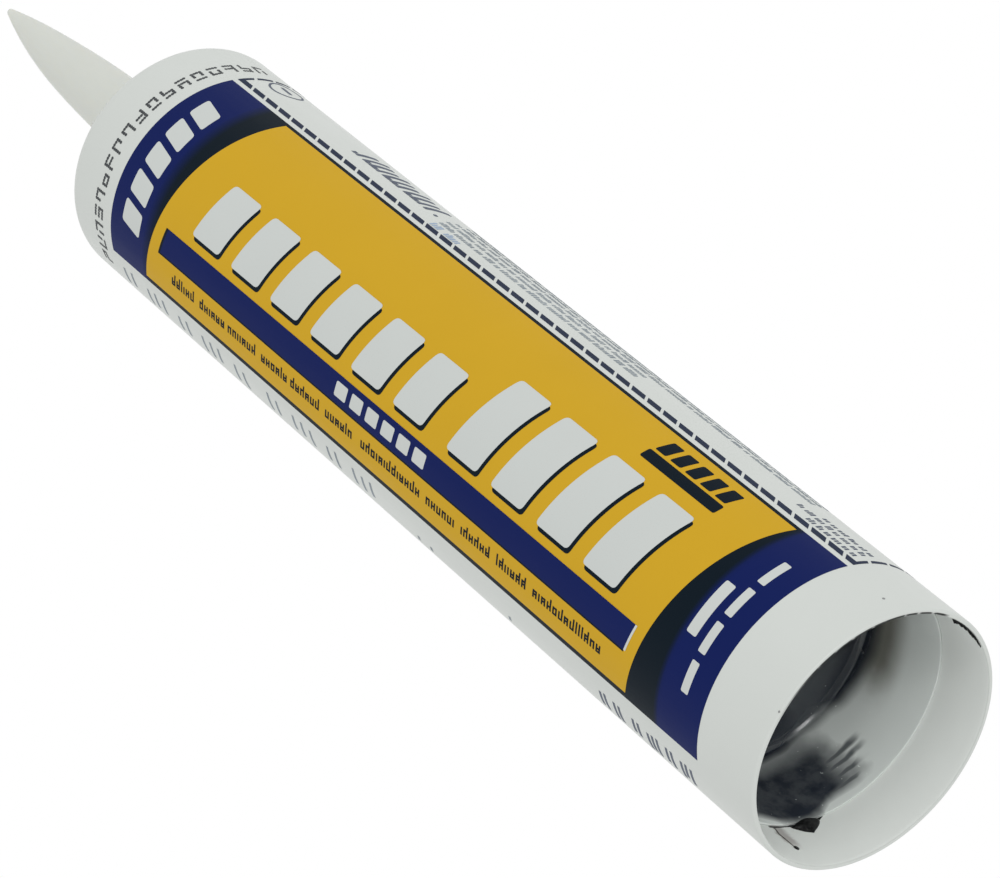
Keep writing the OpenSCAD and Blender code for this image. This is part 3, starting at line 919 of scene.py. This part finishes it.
plunger = {
    "edge": 11.5, "floor": 29.4, "rise": 2.5, "floor wall": 1.0,
    "lip radius": 23.14, "skirt radius": 22.94, "edge inner": 22.74, "root inner": 22.14,
    "lip": 1.6, "fillet": 1.0, "dome edge": 79, "slope": 39, "slope length": 0.55,  # angles in degrees
    "edge place": (0.19, 0.98),  # cosine and sine of the dome edge, to two places
    "surface": {"mottle": 0.12, "roughness": 0.14, "bump": 0.05, "specular": 0.4},
    "grey": (0.72, 0.76, 0.735),
    "brownTone": (0.235, 0.235, 0.205),
    "dark": (0.022, 0.027, 0.038),
    # Where a mark starts, is full, is last full and ends: degrees round the axis, or millimetres of height
    "high patch": {"degrees": (101, 117), "height": (19.0, 21.0), "curve": 0.55, "lean": -9,
                   "leaned": (21, 26)},
    "low patch": {"degrees": (99, 118), "height": (12.7, 15.4), "curve": 0.42, "sink": 2.2,
                  "sunk": (118, 137, 142, 162)},
    "patch end": (210, 150), "patch top": (22.6, 27.5), "thinned": -0.34,
    "clouds": (0.34, 0.62), "cloud share": 0.06,
    "fingers": ((91, 20.4), (93, 18.6), (98, 16.6), (101, 14.6)),  # degrees where each starts, and height
    "finger": {"across": (1.0, 0.2), "start": (-2, 7), "end": (175, 150), "share": 0.85},
    # Painted shade on the wall below the floor, and painted light on the side where the highlight falls
    "wall shade": (18, 24), "wall share": 0.08,
    "floor sealant and shade": (24.2, 28.6), "paintedLit": (82, 94, 108, 122), "paintedLitShift": -1.4,
    "specks": (0.755, 0.79), "speck share": 0.35,
    "brownTone height": (18.0, 24.4), "brownTone degrees": (82, 62),
    "film": (26.8, 28.0), "film roughness": 0.09, "film index": 1.6,
    "wobble degrees": 18.0, "wobble height": 1.6,  # how far the edges wander
    "wobble noise": (110, 3, 0.6), "cloud noise": (190, 4, 0.6), "speck noise": (1300, 1, 0.5),
}


def sealantPatches(tree, coords, degrees, height):
    # The large patch reaches further left near its top, and fades into the fingers below that
    p = plunger
    high, low, finger = p["high patch"], p["low patch"], p["finger"]
    leaned = shifted(tree, degrees, mapRange(tree, height, *high["leaned"]), high["lean"])
    upper = both(tree, mapRange(tree, leaned, *high["degrees"]), mapRange(tree, height, *high["height"]))
    upper = calc(tree, "POWER", upper, high["curve"])
    sunk = shifted(tree, height, between(tree, degrees, *low["sunk"]), low["sink"])
    lower = both(tree, mapRange(tree, degrees, *low["degrees"]), mapRange(tree, sunk, *low["height"]))
    lower = calc(tree, "POWER", lower, low["curve"])
    thinned = shifted(tree, 1.0, mapRange(tree, height, *p["patch top"]), p["thinned"])
    dark = both(tree, either(tree, upper, lower), thinned)
    dark = both(tree, dark, mapRange(tree, degrees, *p["patch end"]))
    cloud = mapRange(tree, noise(tree, coords, *p["cloud noise"]), *p["clouds"])
    dark = both(tree, dark, shifted(tree, 1 - p["cloud share"], cloud, p["cloud share"]))
    for start, level in p["fingers"]:
        away = calc(tree, "ABSOLUTE", calc(tree, "SUBTRACT", height, level))
        begun = mapRange(tree, degrees, *(start + more for more in finger["start"]))
        streak = both(tree, mapRange(tree, away, *finger["across"]), begun)
        streak = both(tree, streak, mapRange(tree, degrees, *finger["end"]))
        dark = either(tree, dark, both(tree, streak, finger["share"]))
    return dark


def plungerMaterial():
    p = plunger
    mat, tree, shader = newMaterial("plungerPolyethylene")
    coords = objectCoords(tree)
    degrees, height = aroundAxis(tree, coords)
    wobble = calc(tree, "SUBTRACT", noise(tree, coords, *p["wobble noise"]), 0.5)
    degrees = shifted(tree, degrees, wobble, p["wobble degrees"])
    height = shifted(tree, height, wobble, p["wobble height"])
    dark = sealantPatches(tree, coords, degrees, height)
    # The sealant behind the floor makes it dark, and painted shade climbs the wall from it, least where the
    # highlight is, where the corner is painted lighter as painted light; a faint painted shade lies lower on
    # the wall
    dark = either(tree, dark, both(tree, mapRange(tree, height, *p["wall shade"]), p["wall share"]))
    paintedLit = shifted(tree, height, between(tree, degrees, *p["paintedLit"]), p["paintedLitShift"])
    dark = either(tree, dark, mapRange(tree, paintedLit, *p["floor sealant and shade"]))
    speck = mapRange(tree, noise(tree, coords, *p["speck noise"]), *p["specks"])
    dark = calc(tree, "SUBTRACT", dark, both(tree, speck, p["speck share"]))
    # A brownish darker tone to the right of the patches, near the floor
    brownTone = mapRange(tree, height, *p["brownTone height"])
    brownTone = both(tree, brownTone, mapRange(tree, degrees, *p["brownTone degrees"]))
    grey = mixColour(tree, brownTone, p["grey"], p["brownTone"])
    dressSurface(tree, shader, mixColour(tree, dark, grey, p["dark"]), **p["surface"])
    # The film of sealant on the floor is wet
    tree.links.new(mapRange(tree, height, *p["film"]), shader.inputs["Coat Weight"])
    shader.inputs["Coat Roughness"].default_value = p["film roughness"]
    shader.inputs["Coat IOR"].default_value = p["film index"]
    return mat


def makePlunger():
    p = plunger

    def dome(r):
        return p["rise"] * (1 - (r / p["skirt radius"]) ** 2)

    # The inside corner is two small arcs with a straight slope between them, which catches the light
    floor, root, fillet = p["floor"], p["root inner"], p["fillet"]
    slope, (out, up) = math.radians(p["slope"]), p["edge place"]
    corner = root - fillet - p["slope length"] * math.sin(slope)
    top = floor + dome(corner + out * fillet) - up * fillet
    section = [(r, floor + dome(r)) for r in (0, 3, 6, 9, 12, 15, 17.5, 19.3)]
    section += arc(corner, top, fillet, p["dome edge"], p["slope"], 4)
    section += arc(root - fillet, top - p["slope length"] * math.cos(slope), fillet, p["slope"], 1, 4)
    section += [(p["edge inner"] - 0.02, p["edge"] + 0.3), (p["edge inner"] + 0.06, p["edge"] + 0.05),
                (p["edge inner"] + 0.14, p["edge"]), (p["lip radius"] - 0.1, p["edge"]),
                (p["lip radius"], p["edge"] + 0.1), (p["lip radius"], p["edge"] + p["lip"]),
                (p["skirt radius"], p["edge"] + p["lip"] * 1.5), (p["skirt radius"], floor - p["lip"]),
                (p["lip radius"], floor - p["lip"] / 2), (p["lip radius"], floor + p["floor wall"] - 0.2),
                (p["skirt radius"], floor + p["floor wall"])]
    section += [(r, floor + p["floor wall"] + dome(r)) for r in (21, 18, 15, 12, 9, 6, 3, 0)]
    bm = turn(section, False)
    finishPiece(bm, "plungerCup", plungerMaterial(), "plunger", crease=35, body="piston")


makePlunger()
print("plunger made")


# Sealant: black silicone between the plunger and the foil

sealant = {"radius": 23.15, "low": 30.45, "rise": 2.5, "high": 217.6, "shoulder": 2.7, "keep": 0.0034,
           "colour": (0.006, 0.0065, 0.008),
           "surface": {"mottle": 0.3, "roughness": 0.18, "bump": 0.6, "depth": 0.0004}}


def makeSealant():
    s = sealant
    places = (0, 4, 8, 12, 16, 20, s["radius"])
    section = [(r, s["low"] + s["rise"] * (1 - (r / s["radius"]) ** 2)) for r in places]
    section += arc(s["radius"] - s["shoulder"], s["high"] - s["shoulder"], s["shoulder"], 0, 90, 8)
    section += [(0, s["high"])]
    bm = turn(section, False, 96)
    mat, tree, shader = newMaterial("blackSilicone")
    dressSurface(tree, shader, s["colour"], **s["surface"])
    piece = finishPiece(bm, "sealantFill", mat, "sealant", crease=35)
    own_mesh(piece)


makeSealant()
print("sealant made")


# Foil: it keeps its own solid, and gets rolled metal

foil = {"colour": (0.78, 0.79, 0.80), "surface": {"mottle": 0.06, "roughness": 0.3, "bump": 0.8}}


def dressFoil():
    mat, tree, shader = newMaterial("rolledFoil")
    dressSurface(tree, shader, foil["colour"], **foil["surface"])
    shader.inputs["Metallic"].default_value = 1
    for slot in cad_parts["foil_seal"].material_slots:
        slot.material = mat


dressFoil()
print("foil dressed")


# Sealant that has got past the plunger and onto the rim, as small black bodies on the barrel

residue = {
    "surface": {"mottle": 0.4, "roughness": 0.35, "bump": 0.9, "depth": 0.0003, "specular": 0.25},
    "colour": (0.007, 0.0075, 0.008),
    "lump": {"angle": 139.8, "half": 8.8, "high": 11.44, "low": 8.8, "thick": 1.25, "over": 0.95},
    "spread": ((130.4, 11.42), (148.4, 11.42), (147.6, 10.6), (143.6, 9.7), (139.7, 8.75), (136.0, 9.9),
               (133.4, 10.8)),  # degree and height
    "spread skin": 0.12,
    "streak": {"top": (157.6, 11.42), "foot": (156.6, 5.2), "half": 0.42, "skin": 0.03},
    "thread": {"first": 146.5, "last": 160.0, "low": 11.0, "high": 11.42, "skin": 0.05},
    "drop": {"across": 1.1, "up": 0.55, "skin": 0.15},  # half its width in degrees, and half its height
    "rim marks": ((-11.5, 14.5, 0.6, 0.6), (-10.6, -6.8, 0.9, 0.75)),  # first, last degree, width, depth
    "specks": ((-41.6, 4.6, 0.27), (-104.2, 0.3, 0.2)),  # degree, height and radius
    "grey": (0.27, 0.28, 0.28),
    "thinned": (0.085, 0.075, 0.068),
}


def residueMaterial(name, colour):
    mat, tree, shader = newMaterial(name)
    dressSurface(tree, shader, colour, **residue["surface"])
    return mat


def wallRadius(z):
    # Radius of the barrel's inside near the mouth
    share = min(max(z - barrel["mouth depth"], 0), 1)
    return barrel["mouth radius"] - share * (barrel["mouth radius"] - barrel["radius"] + barrel["wall"])


def wallSkin(bm, corners, skin):
    # A thin flat shape laid on the inside of the mouth; corners are (degrees from +X, height in millimetres)
    flat = bmesh.new()
    flat.faces.new([flat.verts.new((angle, 0, z)) for angle, z in corners])
    cuts = [(math.ceil(min(a for a, z in corners)) + k, 0) for k in range(24)]
    cuts += [(0, barrel["mouth depth"] + k * 0.5) for k in range(3)]
    for angle, z in cuts:
        cutFlat(flat, (angle, 0, z), (0, 0, 1) if z else (1, 0, 0))
    raised = raiseFlat(flat)
    for vert in flat.verts:
        radius = wallRadius(vert.co.z) - 0.004 - (skin if vert in raised else 0)
        vert.co = polar(radius, math.radians(vert.co.x), vert.co.z)
    addPart(bm, flat)


def makeLump(mat):
    # A ball flattened against the wall below the plunger's edge, pointed at its foot and swollen at the top
    r = residue["lump"]
    rng = random.Random(3)
    bm = bmesh.new()
    bmesh.ops.create_icosphere(bm, subdivisions=5, radius=1)
    bumps = [(rng.uniform(-1, 1), rng.uniform(-1, 1), rng.uniform(-0.2, 0.2)) for k in range(18)]
    for vert in bm.verts:
        across, out, up = vert.co
        rise = 0.5 * (up + 1)
        swell = sum(size * math.exp(-((across - x) ** 2 + (up - y) ** 2) / 0.05) for x, y, size in bumps)
        width = r["half"] * (0.1 + 0.9 * rise ** 0.75) * (1 + 0.5 * swell)
        angle = math.radians(r["angle"] + across * width)
        share = max(0.0, out)
        depth = share * r["thick"] * (0.35 + 0.65 * rise) * (1 + swell)
        z = r["low"] + (r["high"] - r["low"]) * (rise ** 0.9)
        z = z + r["over"] * share * rise ** 3 + swell * 0.3 * (1 - rise)
        radius = wallRadius(min(z, r["high"])) - 0.01 - depth
        if depth < 0.7:
            z = min(z, r["high"])
        vert.co = polar(radius, angle, z)
    bmesh.ops.recalc_face_normals(bm, faces=bm.faces)
    finishPiece(bm, "sealantLump", mat, "sealant", extra=True)


def makeStreak(mat):
    # A thin run down the wall
    s = residue["streak"]
    (a0, z0), (a1, z1) = s["top"], s["foot"]
    bm = bmesh.new()
    steps = 12
    edges = []
    for k in range(steps + 1):
        t = k / steps
        half = s["half"] * (1.15 - 0.5 * t) * (1 + 0.3 * math.sin(k * 2.3))
        edges.append((a0 + (a1 - a0) * t, z0 + (z1 - z0) * t, half))
    outline = [(a - half, z) for a, z, half in edges] + [(a + half, z) for a, z, half in edges[::-1]]
    wallSkin(bm, outline, s["skin"])
    finishPiece(bm, "sealantStreak", mat, "sealant", crease=40, extra=True)


def makeDrop(mat):
    # The drop at the foot of the run, a thread along the plunger's edge, and what has spread below the edge
    d, t = residue["drop"], residue["thread"]
    bm = bmesh.new()
    wallSkin(bm, disc(*residue["streak"]["foot"], d["across"], d["up"], 12), d["skin"])
    wallSkin(bm, [(t["first"], t["low"] + 0.1), (t["first"] + 3, t["low"] + 0.18), (t["last"], t["low"]),
                  (t["last"], t["high"]), (t["first"], t["high"])], t["skin"])
    wallSkin(bm, residue["spread"], residue["spread skin"])
    finishPiece(bm, "sealantDrop", mat, "sealant", crease=40, extra=True)


def makeRimMarks(mat):
    # Threads of sealant along the inner edge of the rim
    rng = random.Random(9)
    bm = bmesh.new()
    inner = barrel["mouth radius"] + barrel["lip chamfer"]
    for first, last, width, thick in residue["rim marks"]:
        strand = bmesh.new()
        count = int((last - first) / 1.2)
        section = [strand.verts.new((0, 0.5 * math.cos(math.tau * k / 6), 0.5 * math.sin(math.tau * k / 6)))
                   for k in range(6)]
        edges = [strand.edges.new((section[k], section[(k + 1) % 6])) for k in range(6)]
        ends = list(edges)
        for k in range(count):
            made = bmesh.ops.extrude_edge_only(strand, edges=ends)["geom"]
            ends = [item for item in made if isinstance(item, bmesh.types.BMEdge)
                    and all(vert in made for vert in item.verts)]
            moved = [item for item in made if isinstance(item, bmesh.types.BMVert)]
            bmesh.ops.translate(strand, vec=(1, 0, 0), verts=moved)
        bmesh.ops.holes_fill(strand, edges=[edge for edge in strand.edges if edge.is_boundary])
        sizes = [rng.uniform(0.6, 1.0) for k in range(count + 1)]
        for vert in strand.verts:
            k = round(vert.co.x)
            size = sizes[k] * min(1.0, 0.35 + 2.5 * (count - k) / count) * (1.0 if k else 0.4)
            angle = math.radians(first + (last - first) * vert.co.x / count)
            radius = inner - 0.12 - thick * size * (0.45 + vert.co.y)
            vert.co = polar(radius, angle, max(0.26 + width * size * vert.co.z, 0.01))
        addPart(bm, strand)
    finishPiece(bm, "rimSealant", mat, "sealant", extra=True)


def makeSpecks(mat):
    # Grey specks on the outside of the barrel, just above the rim
    bm = bmesh.new()
    for degree, z, radius in residue["specks"]:
        u = math.radians(degree + 90) * barrel["radius"]
        outline = [(u + radius * (1 + 0.2 * math.sin(k * 3)) * math.cos(math.tau * k / 9),
                    z + radius * math.sin(math.tau * k / 9)) for k in range(9)]
        bendSkin(bm, outline, barrel["radius"] + 0.004, 0.03)
    finishPiece(bm, "barrelSpecks", mat, "sealant", extra=True)


blackSealant = residueMaterial("curedSealant", residue["colour"])
makeLump(blackSealant)
makeStreak(residueMaterial("thinnedSealant", residue["thinned"]))
makeDrop(blackSealant)
makeRimMarks(blackSealant)
makeSpecks(residueMaterial("greySpecks", residue["grey"]))
print("residue made")


# Floor, backdrop and light

studio = {
    "floor size": 3.0,
    "floor drop": 0.0002,
    "floor colours": ((0.84, 0.84, 0.84), (0.88, 0.88, 0.88)),
    "level": 0.80,  # strength of the white light from all round
    "lamp direction": (0.36, -0.70, -0.62),  # towards the lamps, below and to the right of the panel
    "lamps": (("softLamp", 0.05, 60), ("highlightLamp", 0.55, 14)),  # strength, and softness in degrees
}


def makeFloor():
    # The photograph looks up from below the floor, so the floor shows only to what looks down on it
    bm = bmesh.new()
    bmesh.ops.create_grid(bm, x_segments=2, y_segments=2, size=studio["floor size"])
    bmesh.ops.translate(bm, vec=(0, 0, -studio["floor drop"]), verts=bm.verts)
    mesh = bpy.data.meshes.new("studioFloor")
    bm.to_mesh(mesh)
    bm.free()
    floor = bpy.data.objects.new("studioFloor", mesh)
    scene.collection.objects.link(floor)
    mat, tree, shader = newMaterial("paleFloor")
    speck = noise(tree, objectCoords(tree), 40, 4)
    dull, bright = studio["floor colours"]
    tree.links.new(ramp(tree, speck, [(0.0, dull), (1.0, bright)]), shader.inputs["Base Color"])
    shader.inputs["Roughness"].default_value = 0.8
    clear = tree.nodes.new("ShaderNodeBsdfTransparent")
    geometry = tree.nodes.new("ShaderNodeNewGeometry")
    front = calc(tree, "SUBTRACT", 1.0, geometry.outputs["Backfacing"])
    mixShaders(tree, both(tree, directRay(tree), front), clear, shader, tree.nodes["Material Output"])
    mesh.materials.append(mat)


def makeWorld():
    world = bpy.data.worlds.new("studio")
    scene.world = world
    world.use_nodes = True
    tree = world.node_tree
    light = tree.nodes["Background"]
    light.inputs["Color"].default_value = (1, 1, 1, 1)
    light.inputs["Strength"].default_value = studio["level"]
    white = tree.nodes.new("ShaderNodeBackground")
    white.inputs["Color"].default_value = (1, 1, 1, 1)
    white.inputs["Strength"].default_value = 1
    mixShaders(tree, directRay(tree), light, white, tree.nodes["World Output"])


def makeLamps():
    for name, strength, softness in studio["lamps"]:
        data = bpy.data.lights.new(name, "SUN")
        data.energy = strength
        data.angle = math.radians(softness)
        lamp = bpy.data.objects.new(name, data)
        lamp.rotation_mode = "QUATERNION"
        lamp.rotation_quaternion = (-Vector(studio["lamp direction"])).to_track_quat("-Z", "Y")
        scene.collection.objects.link(lamp)


makeFloor()
makeWorld()
makeLamps()
print("studio made")
